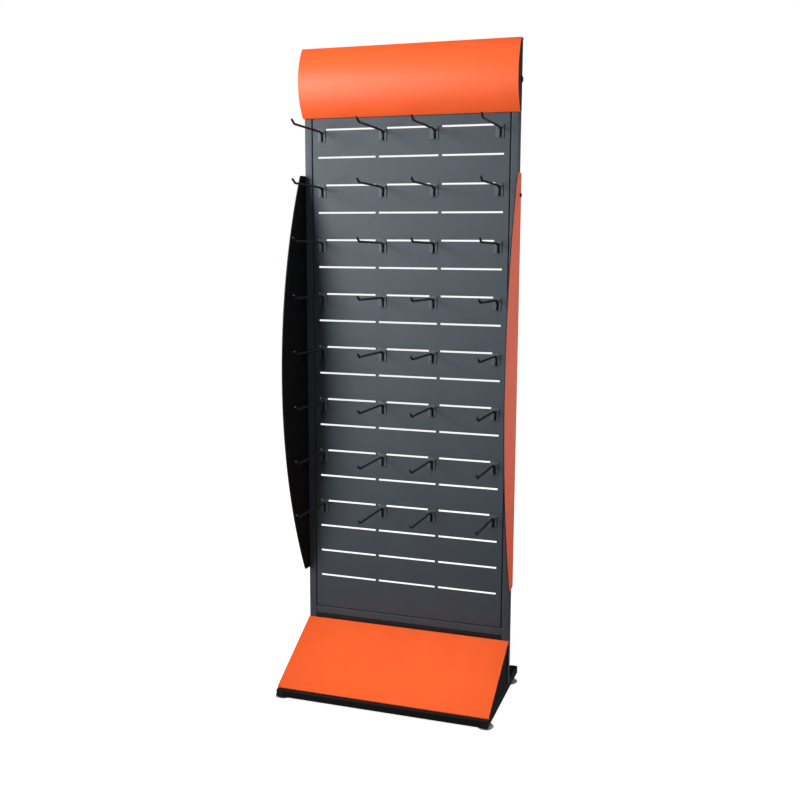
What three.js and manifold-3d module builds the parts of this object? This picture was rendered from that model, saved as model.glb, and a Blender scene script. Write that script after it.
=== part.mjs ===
// A free-standing display stand for hanging hand tools: a slotted sheet-steel panel in a welded
// tube frame, a curved header, two bowed side wings, a sloping base cover on a floor frame with
// levelling feet, and wire hooks that hang in the panel's slots and slide along them.
//
// Millimetres. +X is to the viewer's right, +Y is away from the viewer, +Z is up.
// The origin is on the floor, under the middle of the whole footprint.

import * as THREE from "three";
import { mergeVertices } from "three/addons/utils/BufferGeometryUtils.js";
import Module from "manifold-3d";

const wasm = await Module();
wasm.setup();

// ---------------------------------------------------------------- driving dimensions

const FRAME_WIDTH = 605; // over the outsides of the two posts
const TOTAL_HEIGHT = 1778;
const BASE_DEPTH = 370;
const BASE_BEHIND_PANEL = 130; // from the panel's front face to the back of the base

const TUBE = 22; // square tube of the posts, rails and base frame
const TUBE_WALL = 1.5;
const SHEET = 1.5; // header, wings, cover and cheeks
const PANEL_SHEET = 1.2;
const GAP = 0.3; // between pieces that touch

const FOOT_HEIGHT = 5; // underside of the base frame above the floor
const FOOT_DISC_RADIUS = 22;
const FOOT_DISC_THICKNESS = 3;
const FOOT_COLLAR_RADIUS = 8;
const FOOT_STUD_RADIUS = 4;
const FOOT_STUD_TOP = 20;
const FOOT_HOLE_RADIUS = 4.8;
const FOOT_BEFORE_REAR = 54; // rear feet stand this far in from the back of the base

const RAIL_ABOVE_BASE = 162; // underside of the bottom rail above the base frame's underside
const PANEL_DEPTH = 20; // depth of the folded tray
const PANEL_RETURN_STEP = 4; // the tray's sides step out this far behind the front face
const GROOVE = 2.25; // dark line round the panel, between its front face and the frame

const SLOT_ROWS = 18;
const SLOT_PITCH = 75;
const TOP_SLOT_ABOVE_BASE = 1558;
const SLOTS_PER_ROW = 3;
const SLOT_LENGTH = 168.3;
const SLOT_BRIDGE = 10;
const SLOT_HEIGHT = 4.8;

const HEADER_HEIGHT = 185;
const HEADER_EDGE_REACH = 6; // the header's top and bottom edges, in front of the panel
const HEADER_BULGE = 38; // its middle, in front of the panel
const HEADER_ARC_STEPS = 12;
const HEADER_CHEEK_BACK = 13; // rear edge of the header's end plates, behind the panel's face
const HEADER_BOLT_BACK = 5;
const HEADER_BOLT_DROP = 11; // bolt below the header's middle

const WING_BOTTOM_ABOVE_BASE = 300;
const WING_TOP_ABOVE_BASE = 1434;
const WING_MIDDLE_ABOVE_BASE = 871;
const WING_REACH = 154; // furthest reach in front of the panel
const WING_SHEET = 3;
const WING_SPLAY = 0.04; // outward lean of the part in front of the posts, per unit of reach
const WING_BEND = 2; // the wings bend this far in front of the posts
const WING_ARC_RADIUS = 1315;
const WING_ARC_STEPS = 16;
const WING_CORNER = 9; // length cut off each rounded corner
const WING_BOLT_INSET = 57; // bolt below the wing's top
const WING_RIVET_INSET = 37; // rivet above the wing's foot

const COVER_RISE = 129; // the sloping cover climbs this far from front edge to panel
const COVER_HEM = 18;
const COVER_FLANGE = 15;
const CHEEK_INSET = 3.5; // base cheek's outer face, in from the side of the frame

const BOLT_SHANK_RADIUS = 3;
const BOLT_HOLE_RADIUS = 3.4;
const BOLT_HEAD_RADIUS = 6;
const HEADER_BOLT_HEAD_RADIUS = 8;
const BOLT_HEAD_HEIGHT = 3.5;
const RIVET_HEAD_HEIGHT = 1;
const BOLT_SHANK_LENGTH = 12;

const HOOK_WIRE = 6;
const HOOK_COLUMNS = [-251, -72.7, 72.7, 251]; // each hook rests at one end of its slot
const HOOK_ROWS = [1, 3, 5, 7, 9, 11, 13, 15];
const HOOK_ARM_DROP = 6.6; // arm's centre line below the slot's centre line
const HOOK_LEG_DROP = 33; // foot of the leg below the slot's centre line
const HOOK_ARM_REACH = 183; // from the panel to the bend of the tip
const HOOK_ARM_RISE = 4;
const HOOK_TIP_LENGTH = 21;
const HOOK_TIP_ANGLE = 30; // degrees above level
const HOOK_BEND_RADIUS = 8;
const HOOK_BEND_STEPS = 2;
const HOOK_TIP_BEND_STEPS = 2;
const HOOK_PLATE_WIDTH = 22;
const HOOK_PLATE = 2.2;
const HOOK_PLATE_DROP = 34; // foot of the plate below the slot's centre line
const HOOK_WELD_SINK = 0.3; // the wire is sunk this far into the plate it is welded to
const HOOK_TONGUE_RISE = 14; // plate behind the panel, above the slot's lower edge

const WIRE_SIDES = 8;
const HOLE_SIDES = 8;
const BOLT_SIDES = 8;
const FOOT_SIDES = 20;

// ---------------------------------------------------------------- levels and planes

const SIDE = FRAME_WIDTH / 2; // outer face of a post
const POST_INNER = SIDE - TUBE;
const POST_CENTRE = SIDE - TUBE / 2;
const BASE_FRONT = -BASE_DEPTH / 2;
const BASE_REAR = BASE_DEPTH / 2;
const PANEL_FACE = BASE_REAR - BASE_BEHIND_PANEL; // front faces of the panel and the posts
const POST_REAR = PANEL_FACE + TUBE;
const BASE_BOTTOM = FOOT_HEIGHT;
const BASE_TOP = BASE_BOTTOM + TUBE;
const HEADER_BOTTOM = TOTAL_HEIGHT - HEADER_HEIGHT;
const HEADER_MIDDLE = TOTAL_HEIGHT - HEADER_HEIGHT / 2;
const HEADER_CHEEK_REAR = PANEL_FACE + HEADER_CHEEK_BACK;
const POST_BOTTOM = BASE_TOP + GAP;
const POST_TOP = TOTAL_HEIGHT - SHEET - GAP;
const BOTTOM_RAIL_BOTTOM = BASE_BOTTOM + RAIL_ABOVE_BASE;
const BOTTOM_RAIL_TOP = BOTTOM_RAIL_BOTTOM + TUBE;
const TOP_RAIL_BOTTOM = POST_TOP - TUBE;
const COVER_RAIL_BOTTOM = BOTTOM_RAIL_BOTTOM - GAP - TUBE; // behind the cover's rear flange
const SKIN_INNER = SIDE + GAP; // inner face of the wings and header cheeks
const SKIN_OUTER = SKIN_INNER + SHEET;
const WING_OUTER = SKIN_INNER + WING_SHEET;
const WING_BOTTOM = BASE_BOTTOM + WING_BOTTOM_ABOVE_BASE;
const WING_TOP = BASE_BOTTOM + WING_TOP_ABOVE_BASE;
const WING_MIDDLE = BASE_BOTTOM + WING_MIDDLE_ABOVE_BASE;
const TUBE_MIDDLE = PANEL_FACE + TUBE / 2; // middle of the posts and rails, front to back

const slotHeight = (row) => BASE_BOTTOM + TOP_SLOT_ABOVE_BASE - (row - 1) * SLOT_PITCH;

// ---------------------------------------------------------------- materials

const paint = (color, roughness) => () =>
  new THREE.MeshStandardMaterial({ color, roughness, metalness: 0.1 });
const slatePaint = paint(0x4a5058, 0.5);
const blackPaint = paint(0x0e0f11, 0.45);
const orangePaint = paint(0xff6a2c, 0.42);
const hookPaint = paint(0x121316, 0.35);
const zincPlate = () =>
  new THREE.MeshStandardMaterial({ color: 0xb9bcc0, roughness: 0.35, metalness: 0.9 });

// ---------------------------------------------------------------- geometry helpers

function box([x0, x1], [y0, y1], [z0, z1]) {
  const geometry = new THREE.BoxGeometry(x1 - x0, y1 - y0, z1 - z0);
  return geometry.translate((x0 + x1) / 2, (y0 + y1) / 2, (z0 + z1) / 2);
}

// Extrudes an outline drawn in (y, z) along +X, from x0 to x1.
function extrudeAlongX(shape, x0, x1) {
  const geometry = new THREE.ExtrudeGeometry(shape, { depth: x1 - x0, bevelEnabled: false });
  const turn = new THREE.Matrix4().makeBasis(
    new THREE.Vector3(0, 1, 0),
    new THREE.Vector3(0, 0, 1),
    new THREE.Vector3(1, 0, 0),
  );
  return geometry.applyMatrix4(turn).translate(x0, 0, 0);
}

function outline(points) {
  return new THREE.Shape(points.map(([a, b]) => new THREE.Vector2(a, b)));
}

// The points moved sideways by a distance, to the left of the way they run, with mitred corners.
function offsetLine(points, distance) {
  return points.map((point, i) => {
    const before = points[Math.max(i - 1, 0)];
    const after = points[Math.min(i + 1, points.length - 1)];
    const normals = [];
    for (const [from, to] of [[before, point], [point, after]]) {
      const length = Math.hypot(to[0] - from[0], to[1] - from[1]);
      if (length > 0) normals.push([-(to[1] - from[1]) / length, (to[0] - from[0]) / length]);
    }
    const [a, b = a] = normals;
    const stretch = distance / (1 + a[0] * b[0] + a[1] * b[1]);
    return [point[0] + (a[0] + b[0]) * stretch, point[1] + (a[1] + b[1]) * stretch];
  });
}

// The section of a folded sheet whose outer surface follows the points.
function sheetSection(points, thickness) {
  return outline([...points, ...offsetLine(points, thickness).reverse()]);
}

// Points on an arc that bulges towards -Y, from the angle a0 to a1 about its level centre.
function arcPoints(centreY, centreZ, radius, a0, a1, steps) {
  const points = [];
  for (let i = 0; i <= steps; i++) {
    const angle = a0 + ((a1 - a0) * i) / steps;
    points.push([centreY - radius * Math.cos(angle), centreZ + radius * Math.sin(angle)]);
  }
  return points;
}

// Square tube with open ends, centred on the Z axis and standing on z = 0.
function squareTube(length) {
  const section = new THREE.Shape();
  const outer = TUBE / 2;
  const inner = outer - TUBE_WALL;
  section.moveTo(-outer, -outer).lineTo(outer, -outer).lineTo(outer, outer).lineTo(-outer, outer);
  const bore = new THREE.Path();
  bore.moveTo(-inner, -inner).lineTo(-inner, inner).lineTo(inner, inner).lineTo(inner, -inner);
  section.holes.push(bore);
  return new THREE.ExtrudeGeometry(section, { depth: length, bevelEnabled: false });
}

const crossRail = (length) => squareTube(length).rotateY(Math.PI / 2).translate(-length / 2, 0, 0);

// A round peg along X from x0 to x1, used to cut holes.
function pegAlongX(radius, x0, x1, y, z) {
  const geometry = new THREE.CylinderGeometry(radius, radius, x1 - x0, HOLE_SIDES);
  return geometry.rotateZ(Math.PI / 2).translate((x0 + x1) / 2, y, z);
}

function toSolid(geometry) {
  const bare = new THREE.BufferGeometry();
  bare.setAttribute("position", geometry.getAttribute("position"));
  bare.setIndex(geometry.index);
  const merged = mergeVertices(bare, 1e-3);
  return new wasm.Manifold(
    new wasm.Mesh({
      numProp: 3,
      vertProperties: merged.getAttribute("position").array,
      triVerts: new Uint32Array(merged.index.array),
    }),
  );
}

function toGeometry(solid) {
  const { vertProperties, triVerts } = solid.getMesh();
  const geometry = new THREE.BufferGeometry();
  geometry.setAttribute("position", new THREE.BufferAttribute(vertProperties, 3));
  geometry.setIndex(new THREE.BufferAttribute(triVerts, 1));
  geometry.computeVertexNormals();
  return geometry;
}

function cutAway(geometry, cutters) {
  let solid = toSolid(geometry);
  for (const cutter of cutters) solid = solid.subtract(toSolid(cutter));
  return toGeometry(solid);
}

function joined(...geometries) {
  return toGeometry(geometries.map(toSolid).reduce((whole, piece) => whole.add(piece)));
}

const stand = new THREE.Group();

function place(name, geometry, material, position = [0, 0, 0]) {
  const mesh = new THREE.Mesh(geometry, material());
  mesh.name = name;
  mesh.position.set(...position);
  stand.add(mesh);
  return mesh;
}

// Both sides of the stand: the side's name and the sign of its X.
const SIDES = [["left", -1], ["right", 1]];
const spanOnSide = (sign, near, far) => (sign > 0 ? [near, far] : [-far, -near]);

// ---------------------------------------------------------------- upright frame

// The fasteners on each side, by their place along Y and Z.
const headerBolt = { y: PANEL_FACE + HEADER_BOLT_BACK, z: HEADER_MIDDLE - HEADER_BOLT_DROP };
const wingBolt = { y: TUBE_MIDDLE, z: WING_TOP - WING_BOLT_INSET };
const wingRivet = { y: TUBE_MIDDLE, z: WING_BOTTOM + WING_RIVET_INSET };

const holesThrough = (x0, x1, fasteners) =>
  fasteners.map(({ y, z }) => pegAlongX(BOLT_HOLE_RADIUS, x0, x1, y, z));

function post(sign) {
  const tube = squareTube(POST_TOP - POST_BOTTOM);
  tube.translate(sign * POST_CENTRE, TUBE_MIDDLE, POST_BOTTOM);
  const [x0, x1] = spanOnSide(sign, POST_CENTRE, SIDE + GAP);
  return cutAway(tube, holesThrough(x0, x1, [headerBolt, wingBolt, wingRivet]));
}

for (const [side, sign] of SIDES) place(`post_${side}`, post(sign), slatePaint);

const railLength = 2 * (POST_INNER - GAP);
const rails = [
  ["top_rail", TOP_RAIL_BOTTOM, slatePaint],
  ["bottom_rail", BOTTOM_RAIL_BOTTOM, slatePaint],
  ["cover_rail", COVER_RAIL_BOTTOM, blackPaint],
];
for (const [name, bottom, material] of rails)
  place(name, crossRail(railLength), material, [0, TUBE_MIDDLE, bottom + TUBE / 2]);

// ---------------------------------------------------------------- slotted panel

function slotOutline(centreX, centreZ) {
  const half = SLOT_LENGTH / 2;
  const rise = SLOT_HEIGHT / 2;
  return outline([
    [centreX - half, centreZ - rise],
    [centreX + half, centreZ - rise],
    [centreX + half, centreZ + rise],
    [centreX - half, centreZ + rise],
  ]);
}

function slotCutters() {
  const slots = [];
  for (let row = 1; row <= SLOT_ROWS; row++)
    for (let i = 0; i < SLOTS_PER_ROW; i++) {
      const column = i - (SLOTS_PER_ROW - 1) / 2;
      slots.push(slotOutline(column * (SLOT_LENGTH + SLOT_BRIDGE), slotHeight(row)));
    }
  const depth = 3 * PANEL_SHEET;
  const cutters = new THREE.ExtrudeGeometry(slots, { depth, bevelEnabled: false });
  return cutters.rotateX(Math.PI / 2).translate(0, PANEL_FACE + depth - PANEL_SHEET, 0);
}

// A shallow tray: its sides run straight back, then step out to meet the frame.
function slottedPanel() {
  const low = BOTTOM_RAIL_TOP;
  const high = TOP_RAIL_BOTTOM;
  const block = (inset, y0, y1) =>
    box(
      [inset - POST_INNER, POST_INNER - inset],
      [PANEL_FACE + y0, PANEL_FACE + y1],
      [low + inset, high - inset],
    );
  const outside = joined(
    block(GROOVE, 0, PANEL_RETURN_STEP + PANEL_SHEET),
    block(GAP, PANEL_RETURN_STEP, PANEL_DEPTH),
  );
  const hollows = [
    block(GROOVE + PANEL_SHEET, PANEL_SHEET, PANEL_DEPTH),
    block(GAP + PANEL_SHEET, PANEL_RETURN_STEP + PANEL_SHEET, PANEL_DEPTH + PANEL_SHEET),
  ];
  return cutAway(outside, [...hollows, slotCutters()]);
}

place("slotted_panel", slottedPanel(), slatePaint);

// ---------------------------------------------------------------- header

const headerEdge = PANEL_FACE - HEADER_EDGE_REACH;
const headerSagitta = HEADER_BULGE - HEADER_EDGE_REACH;
const headerRadius = (HEADER_HEIGHT ** 2 / 4 + headerSagitta ** 2) / (2 * headerSagitta);
const headerHalfAngle = Math.asin(HEADER_HEIGHT / 2 / headerRadius);
const headerCentreY = PANEL_FACE - HEADER_BULGE + headerRadius;

// The curved front with a top that covers the posts and a lip that meets the panel.
function headerFascia() {
  const front = arcPoints(
    headerCentreY,
    HEADER_MIDDLE,
    headerRadius,
    headerHalfAngle,
    -headerHalfAngle,
    HEADER_ARC_STEPS,
  );
  const surface = [[POST_REAR, TOTAL_HEIGHT], ...front, [PANEL_FACE - GAP, HEADER_BOTTOM]];
  const end = SKIN_OUTER + GAP;
  return extrudeAlongX(sheetSection(surface, SHEET), -end, end);
}

// The end plate fills the header's end, inside the fascia and outside the post.
function headerCheek(sign) {
  const inset = SHEET + GAP;
  const radius = headerRadius - inset;
  const halfAngle = Math.asin((HEADER_HEIGHT / 2 - inset) / radius);
  const steps = HEADER_ARC_STEPS;
  const front = arcPoints(headerCentreY, HEADER_MIDDLE, radius, halfAngle, -halfAngle, steps);
  const low = [HEADER_CHEEK_REAR, HEADER_BOTTOM + inset];
  const high = [HEADER_CHEEK_REAR, TOTAL_HEIGHT - inset];
  const [x0, x1] = spanOnSide(sign, SKIN_INNER, SKIN_OUTER);
  const plate = extrudeAlongX(outline([...front, low, high]), x0, x1);
  return cutAway(plate, holesThrough(x0 - SHEET, x1 + SHEET, [headerBolt]));
}

place("header_fascia", headerFascia(), orangePaint);
for (const [side, sign] of SIDES) place(`header_cheek_${side}`, headerCheek(sign), blackPaint);

// ---------------------------------------------------------------- side wings

// The wing's outline, drawn in (y, z).
function wingOutline() {
  const centreY = PANEL_FACE - WING_REACH + WING_ARC_RADIUS;
  const top = Math.asin((WING_TOP - WING_CORNER - WING_MIDDLE) / WING_ARC_RADIUS);
  const bottom = Math.asin((WING_BOTTOM + WING_CORNER - WING_MIDDLE) / WING_ARC_RADIUS);
  const front = arcPoints(centreY, WING_MIDDLE, WING_ARC_RADIUS, top, bottom, WING_ARC_STEPS);
  const corner = ([y], z) => [y + WING_CORNER, z];
  return outline([
    [POST_REAR, WING_TOP],
    corner(front[0], WING_TOP),
    ...front,
    corner(front[front.length - 1], WING_BOTTOM),
    [POST_REAR - WING_CORNER, WING_BOTTOM],
    [POST_REAR, WING_BOTTOM + WING_CORNER],
  ]);
}

// The bent sheet seen from above: flat against the post, then leaning outward.
function wingPlan(sign) {
  const bendY = PANEL_FACE - WING_BEND;
  const frontY = PANEL_FACE - WING_REACH - WING_CORNER;
  const lean = WING_SPLAY * (bendY - frontY);
  const inner = [[SKIN_INNER, POST_REAR], [SKIN_INNER, bendY], [SKIN_INNER + lean, frontY]];
  const outer = inner.map(([x, y]) => [x + WING_SHEET, y]);
  return outline([...inner, ...outer.reverse()].map(([x, y]) => [sign * x, y]));
}

function wing(sign) {
  const height = WING_TOP - WING_BOTTOM;
  const sheet = new THREE.ExtrudeGeometry(wingPlan(sign), { depth: height, bevelEnabled: false });
  sheet.translate(0, 0, WING_BOTTOM);
  const [x0, x1] = spanOnSide(sign, POST_CENTRE, SIDE + 2 * TUBE);
  const blank = extrudeAlongX(wingOutline(), x0, x1);
  const bent = toGeometry(toSolid(sheet).intersect(toSolid(blank)));
  return cutAway(bent, holesThrough(x0, x1, [wingBolt, wingRivet]));
}

for (const [side, sign] of SIDES) place(`wing_${side}`, wing(sign), orangePaint);

// ---------------------------------------------------------------- bolts and rivets

// Round-headed bolt or rivet along +X, the underside of its head at x = 0.
function roundHead(radius, height) {
  const profile = [
    [0, -BOLT_SHANK_LENGTH],
    [BOLT_SHANK_RADIUS, -BOLT_SHANK_LENGTH],
    [BOLT_SHANK_RADIUS, 0],
    [radius, 0],
    [radius, height * 0.4],
    [radius * 0.6, height],
    [0, height],
  ].map(([r, h]) => new THREE.Vector2(r, h));
  return new THREE.LatheGeometry(profile, BOLT_SIDES).rotateZ(-Math.PI / 2);
}

const fasteners = [
  {
    name: "header_bolt",
    head: roundHead(HEADER_BOLT_HEAD_RADIUS, BOLT_HEAD_HEIGHT),
    material: blackPaint,
    x: SKIN_OUTER + GAP,
    ...headerBolt,
  },
  {
    name: "wing_bolt",
    head: roundHead(BOLT_HEAD_RADIUS, BOLT_HEAD_HEIGHT),
    material: blackPaint,
    x: WING_OUTER + GAP,
    ...wingBolt,
  },
  {
    name: "wing_rivet",
    head: roundHead(BOLT_HEAD_RADIUS, RIVET_HEAD_HEIGHT),
    material: orangePaint,
    x: WING_OUTER + GAP,
    ...wingRivet,
  },
];
for (const [side, sign] of SIDES)
  for (const { name, head, material, x, y, z } of fasteners) {
    const fastener = place(`${name}_${side}`, head.clone(), material, [sign * x, y, z]);
    if (sign < 0) fastener.rotation.z = Math.PI;
  }

// ---------------------------------------------------------------- base frame, cover and feet

const footPlaces = { front: BASE_FRONT + FOOT_DISC_RADIUS, rear: BASE_REAR - FOOT_BEFORE_REAR };

// Side tube with closed ends; its only openings are the holes for the feet.
function baseSideTube(sign) {
  const [x0, x1] = spanOnSide(sign, POST_INNER, SIDE);
  const shell = (inset) =>
    box(
      [x0 + inset, x1 - inset],
      [BASE_FRONT + inset, BASE_REAR - inset],
      [BASE_BOTTOM + inset, BASE_TOP - inset],
    );
  const holes = Object.values(footPlaces).map((y) => {
    const peg = new THREE.CylinderGeometry(
      FOOT_HOLE_RADIUS,
      FOOT_HOLE_RADIUS,
      3 * TUBE_WALL,
      HOLE_SIDES,
    );
    return peg.rotateX(Math.PI / 2).translate(sign * POST_CENTRE, y, BASE_BOTTOM);
  });
  return cutAway(shell(0), [shell(TUBE_WALL), ...holes]);
}

for (const [side, sign] of SIDES)
  place(`base_side_tube_${side}`, baseSideTube(sign), blackPaint);
const crossTubePlaces = {
  base_front_tube: BASE_FRONT + TUBE / 2,
  base_rear_tube: BASE_REAR - TUBE / 2,
};
for (const [name, y] of Object.entries(crossTubePlaces))
  place(name, crossRail(railLength), blackPaint, [0, y, BASE_BOTTOM + TUBE / 2]);

const coverFoot = BASE_TOP + GAP;
const coverRear = PANEL_FACE - GAP;
const coverSlope = COVER_RISE / (coverRear - BASE_FRONT);
const coverHeight = (y) => coverFoot + (y - BASE_FRONT) * coverSlope;

// The cover's sheet: a flange down behind, the slope, and a hem folded back on the front tube.
function baseCover() {
  const surface = [
    [coverRear, coverHeight(coverRear) - COVER_FLANGE],
    [coverRear, coverHeight(coverRear)],
    [BASE_FRONT, coverFoot],
    [BASE_FRONT + COVER_HEM, coverFoot],
  ];
  return extrudeAlongX(sheetSection(surface, SHEET), -SIDE, SIDE);
}

function baseCheek(sign) {
  const inset = SHEET + GAP;
  const front = BASE_FRONT + COVER_HEM + GAP;
  const rear = coverRear - inset;
  const drop = inset * Math.hypot(1, coverSlope);
  const shape = outline([
    [front, coverFoot],
    [rear, coverFoot],
    [rear, coverHeight(rear) - drop],
    [front, coverHeight(front) - drop],
  ]);
  const [x0, x1] = spanOnSide(sign, SIDE - CHEEK_INSET - SHEET, SIDE - CHEEK_INSET);
  return extrudeAlongX(shape, x0, x1);
}

place("base_cover", baseCover(), orangePaint);
for (const [side, sign] of SIDES) place(`base_cheek_${side}`, baseCheek(sign), blackPaint);

// A disc on a threaded stud that screws into the base frame from below.
function levellingFoot() {
  const profile = [
    [0, 0],
    [FOOT_DISC_RADIUS, 0],
    [FOOT_DISC_RADIUS, FOOT_DISC_THICKNESS],
    [FOOT_COLLAR_RADIUS, FOOT_DISC_THICKNESS],
    [FOOT_COLLAR_RADIUS, FOOT_HEIGHT - GAP],
    [FOOT_STUD_RADIUS, FOOT_HEIGHT - GAP],
    [FOOT_STUD_RADIUS, FOOT_STUD_TOP],
    [0, FOOT_STUD_TOP],
  ].map(([radius, height]) => new THREE.Vector2(radius, height));
  return new THREE.LatheGeometry(profile, FOOT_SIDES).rotateX(Math.PI / 2);
}

for (const [end, y] of Object.entries(footPlaces))
  for (const [side, sign] of SIDES)
    place(`foot_${end}_${side}`, levellingFoot(), zincPlate, [sign * POST_CENTRE, y, 0]);

// ---------------------------------------------------------------- hooks

// A path through given points, sampled only at them, so that bends get rings and straights don't.
class BentWire extends THREE.Curve {
  constructor(points) {
    super();
    this.points = points;
  }

  getPoint(t, target = new THREE.Vector3()) {
    const last = this.points.length - 1;
    const i = Math.min(Math.floor(t * last + 1e-6), last - 1);
    return target.lerpVectors(this.points[i], this.points[i + 1], t * last - i);
  }

  getPointAt(u, target) {
    return this.getPoint(u, target);
  }

  getTangentAt(u, target = new THREE.Vector3()) {
    const last = this.points.length - 1;
    const i = Math.round(u * last);
    const direction = (k) => this.points[k + 1].clone().sub(this.points[k]).normalize();
    const before = direction(Math.max(i - 1, 0));
    const after = direction(Math.min(i, last - 1));
    return target.addVectors(before, after).normalize();
  }
}

// Replaces the corner b of the path a-b-c by an arc of the bend radius.
function bend(a, b, c, steps) {
  const back = a.clone().sub(b).normalize();
  const on = c.clone().sub(b).normalize();
  const half = back.angleTo(on) / 2;
  const reach = HOOK_BEND_RADIUS / Math.tan(half);
  const centre = back.clone().add(on).normalize();
  centre.multiplyScalar(HOOK_BEND_RADIUS / Math.sin(half)).add(b);
  const start = back.multiplyScalar(reach).add(b).sub(centre);
  const end = on.multiplyScalar(reach).add(b).sub(centre);
  const sweep = start.angleTo(end);
  const axis = start.clone().cross(end).normalize();
  const points = [];
  for (let i = 0; i <= steps; i++)
    points.push(start.clone().applyAxisAngle(axis, (sweep * i) / steps).add(centre));
  return points;
}

// The wire, in the frame of its slot: y = 0 is the panel's face, z = 0 the slot's centre line.
function hookWire() {
  const radius = HOOK_WIRE / 2;
  const wireDepth = -(GAP + HOOK_PLATE - HOOK_WELD_SINK + radius);
  const tip = THREE.MathUtils.degToRad(HOOK_TIP_ANGLE);
  const bendY = -HOOK_ARM_REACH;
  const bendZ = HOOK_ARM_RISE - HOOK_ARM_DROP;
  const foot = new THREE.Vector3(0, wireDepth, -HOOK_LEG_DROP);
  const shoulder = new THREE.Vector3(0, wireDepth, -HOOK_ARM_DROP);
  const tipBend = new THREE.Vector3(0, bendY, bendZ);
  const end = new THREE.Vector3(
    0,
    bendY - HOOK_TIP_LENGTH * Math.cos(tip),
    bendZ + HOOK_TIP_LENGTH * Math.sin(tip),
  );
  const path = new BentWire([
    foot,
    ...bend(foot, shoulder, tipBend, HOOK_BEND_STEPS),
    ...bend(shoulder, tipBend, end, HOOK_TIP_BEND_STEPS),
    end,
  ]);
  const section = [];
  for (let i = 0; i < WIRE_SIDES; i++) {
    const angle = ((i + 0.5) * 2 * Math.PI) / WIRE_SIDES;
    section.push([radius * Math.cos(angle), radius * Math.sin(angle)]);
  }
  return new THREE.ExtrudeGeometry(outline(section), {
    steps: path.points.length - 1,
    extrudePath: path,
  });
}

// The plate that the wire's leg is welded to: it lies on the panel's front below the slot, its
// tongue goes through the slot, and its catch stands up behind the panel.
function hookPlate() {
  const rest = GAP - SLOT_HEIGHT / 2; // underside of the tongue, on the slot's lower edge
  const front = -GAP - HOOK_PLATE;
  const back = PANEL_SHEET + GAP + HOOK_PLATE;
  const shape = outline([
    [front, rest + HOOK_PLATE],
    [front, -HOOK_PLATE_DROP],
    [-GAP, -HOOK_PLATE_DROP],
    [-GAP, rest],
    [back, rest],
    [back, rest + HOOK_TONGUE_RISE],
    [back - HOOK_PLATE, rest + HOOK_TONGUE_RISE],
    [back - HOOK_PLATE, rest + HOOK_PLATE],
  ]);
  return extrudeAlongX(shape, -HOOK_PLATE_WIDTH / 2, HOOK_PLATE_WIDTH / 2);
}

const hookShape = joined(hookWire(), hookPlate());
for (const row of HOOK_ROWS)
  HOOK_COLUMNS.forEach((x, i) => {
    const name = `hook_r${String(row).padStart(2, "0")}_c${i + 1}`;
    place(name, hookShape.clone(), hookPaint, [x, PANEL_FACE, slotHeight(row)]);
  });

export default stand;
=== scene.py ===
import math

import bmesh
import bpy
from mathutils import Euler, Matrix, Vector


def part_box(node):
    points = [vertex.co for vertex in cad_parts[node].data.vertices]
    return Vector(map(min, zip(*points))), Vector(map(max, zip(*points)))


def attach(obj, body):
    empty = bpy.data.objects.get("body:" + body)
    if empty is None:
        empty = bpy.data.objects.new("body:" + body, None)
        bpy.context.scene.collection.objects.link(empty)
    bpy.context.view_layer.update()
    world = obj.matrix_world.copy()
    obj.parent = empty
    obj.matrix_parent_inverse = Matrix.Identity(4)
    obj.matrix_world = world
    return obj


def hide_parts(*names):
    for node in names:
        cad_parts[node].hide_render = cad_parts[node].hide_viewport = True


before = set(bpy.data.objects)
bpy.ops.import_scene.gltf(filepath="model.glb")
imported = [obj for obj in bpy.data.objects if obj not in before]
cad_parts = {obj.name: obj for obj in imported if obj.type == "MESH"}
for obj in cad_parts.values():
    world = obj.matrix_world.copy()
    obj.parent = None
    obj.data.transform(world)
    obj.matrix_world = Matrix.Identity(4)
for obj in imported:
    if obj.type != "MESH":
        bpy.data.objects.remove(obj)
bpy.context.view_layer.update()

# A free-standing display stand for hand tools: slotted panel, curved header, bowed side wings,
# sloping base cover on levelling feet, and wire hooks that slide along the panel's slots.
#
# Metres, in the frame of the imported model: +X to the viewer's right, +Y away from the viewer, +Z up.
# Places and outer sizes come from the boxes of the CAD nodes. The named values below are what the
# boxes don't say: sheet thickness, fold radii, edge rounding, the slots' spacing and a hook's shape.

# ---------------------------------------------------------------- named values

MM = 0.001

SHEET = 1.5 * MM  # header and cover
PANEL_SHEET = 1.2 * MM
FOLD_RADIUS = 2.5 * MM  # outside of a sheet's folds
FOLD_STEPS = 5
RIM = 0.3 * MM  # rounding of cut sheet edges
GAP = 0.3 * MM  # between pieces that touch
SHARP_ANGLE = math.radians(50)  # faces that meet more steeply are shaded with a crisp edge

TUBE_WALL = 1.5 * MM
TUBE_CORNER = 2.8 * MM  # outside corner radius of the square tube
TUBE_CORNER_STEPS = 4

PLUG_THICKNESS = 2 * MM  # head of the plastic plugs in the ends of the base's side tubes
PLUG_LENGTH = 12 * MM
PLUG_PLAY = 0.1 * MM  # between the plug's stem and the tube's bore
PLUG_LAP = 0.1 * MM  # the head runs into the tube's end by this much, so that no gap shows
PLUG_STEM_CORNER = 1.4 * MM
PLUG_STEM_TAPER = 0.4 * MM
PLUG_EDGE = 0.8 * MM  # rounding of the head's outer edge

SLOT_ROWS = 18
SLOT_PITCH = 75 * MM
TOP_SLOT_HEIGHT = 1563 * MM
SLOTS_PER_ROW = 3
SLOT_LENGTH = 168.3 * MM
SLOT_BRIDGE = 10 * MM
SLOT_WIDTH = 4.8 * MM
SLOT_CORNER = 0.4 * MM
SLOT_CORNER_STEPS = 3

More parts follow.
